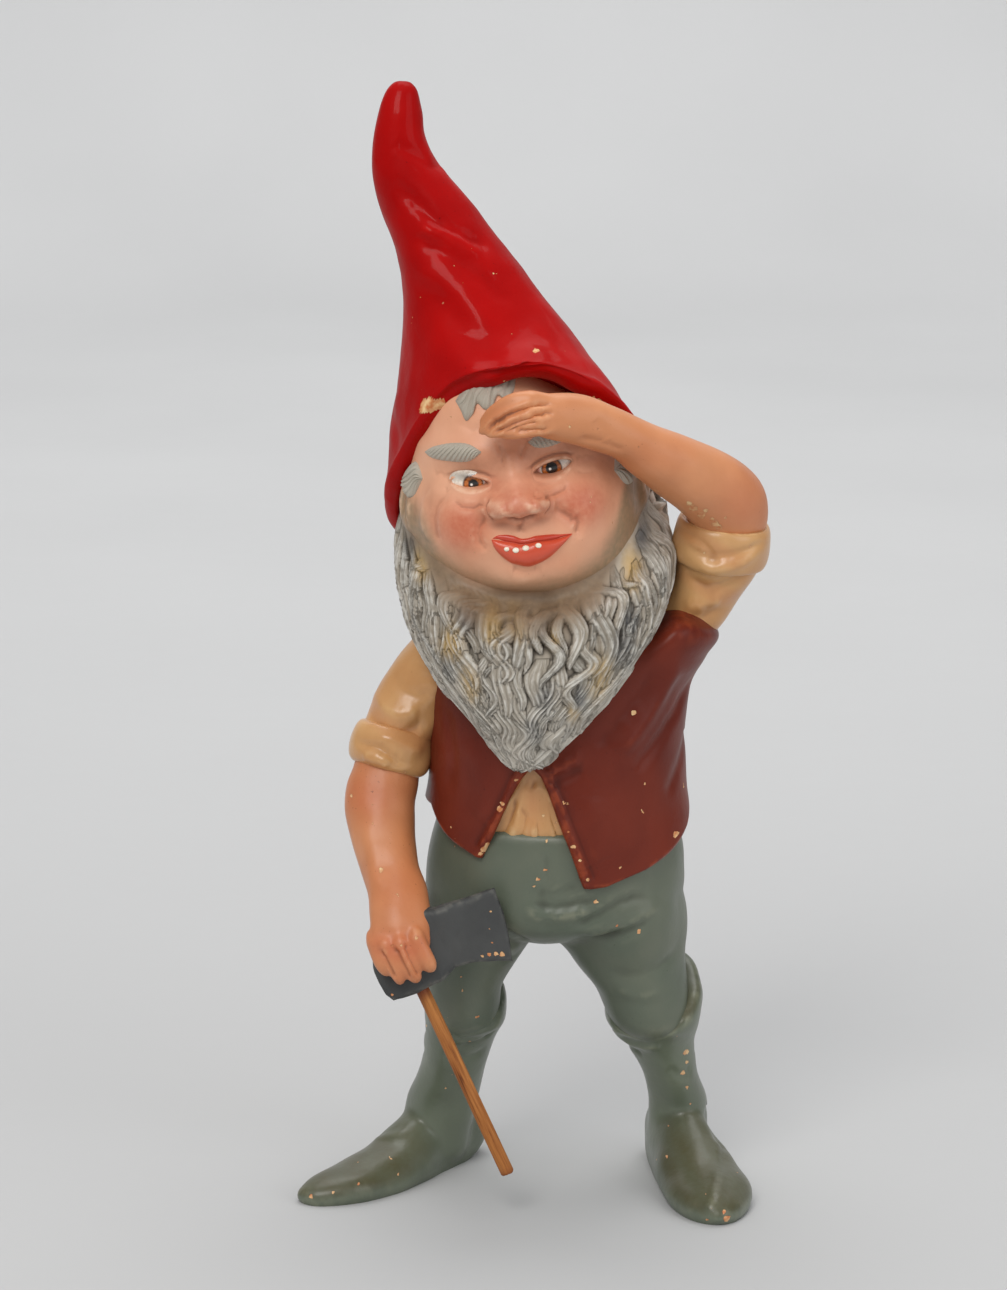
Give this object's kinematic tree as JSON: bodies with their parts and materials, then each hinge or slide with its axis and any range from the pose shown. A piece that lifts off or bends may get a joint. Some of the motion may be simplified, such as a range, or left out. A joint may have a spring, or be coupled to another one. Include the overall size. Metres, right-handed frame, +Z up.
{
  "type": "garden gnome figure",
  "caption": "Standing gnome figure with a pointed hat, a full beard, one hand shading the eyes and an axe with a loose wooden handle in the other.",
  "frame": {"origin": "on the ground, at the bottom middle of the figure's box", "axes": "+Z up, the figure faces -Y, +X to its own left"},
  "size_m": [0.167, 0.1032, 0.4004],
  "materials": {
    "hat_red": "glossy red paint over fired clay, worn through to the pale clay in small chips",
    "flesh": "matt flesh paint over fired clay, with red cheeks",
    "hair_grey": "matt grey paint dry-brushed white over ochre and blue-black",
    "eye_white": "glossy painted eye with a brown iris, and white tooth dots",
    "lip_red": "semi-gloss orange-red paint",
    "shirt_cream": "satin cream-tan paint",
    "waistcoat_brown": "semi-gloss red-brown paint, worn orange on its edges",
    "trouser_green": "satin grey-green paint",
    "boot_green": "satin grey-green paint, browner on the instep and the toe",
    "axe_black": "matt charcoal paint with pale chips along its lower edge",
    "handle_wood": "plain orange-brown wood"
  },
  "bodies": {
    "figure": {"hat": "hat_red", "head": "flesh", "beard": "hair_grey", "back_hair": "hair_grey", "forelock": "hair_grey", "right_temple_hair": "hair_grey", "left_temple_hair": "hair_grey", "right_eyebrow": "hair_grey", "left_eyebrow": "hair_grey", "right_eye": "eye_white", "left_eye": "eye_white", "mouth": "lip_red", "torso": "shirt_cream", "waistcoat": "waistcoat_brown", "right_sleeve": "shirt_cream", "left_sleeve": "shirt_cream", "right_cuff": "shirt_cream", "left_cuff": "shirt_cream", "right_forearm": "flesh", "left_forearm": "flesh", "trousers": "trouser_green", "right_boot": "boot_green", "left_boot": "boot_green", "axe_head": "axe_black", "tooth_1": "eye_white", "tooth_2": "eye_white", "tooth_3": "eye_white", "tooth_4": "eye_white"},
    "axe_handle": {"axe_handle": "handle_wood"}
  },
  "joints": [
    {"name": "handle_slide", "type": "slide", "parent": "figure", "child": "axe_handle", "axis": [0.4067, 0, -0.9135], "range_m": [0, 0.012]}
  ]
}
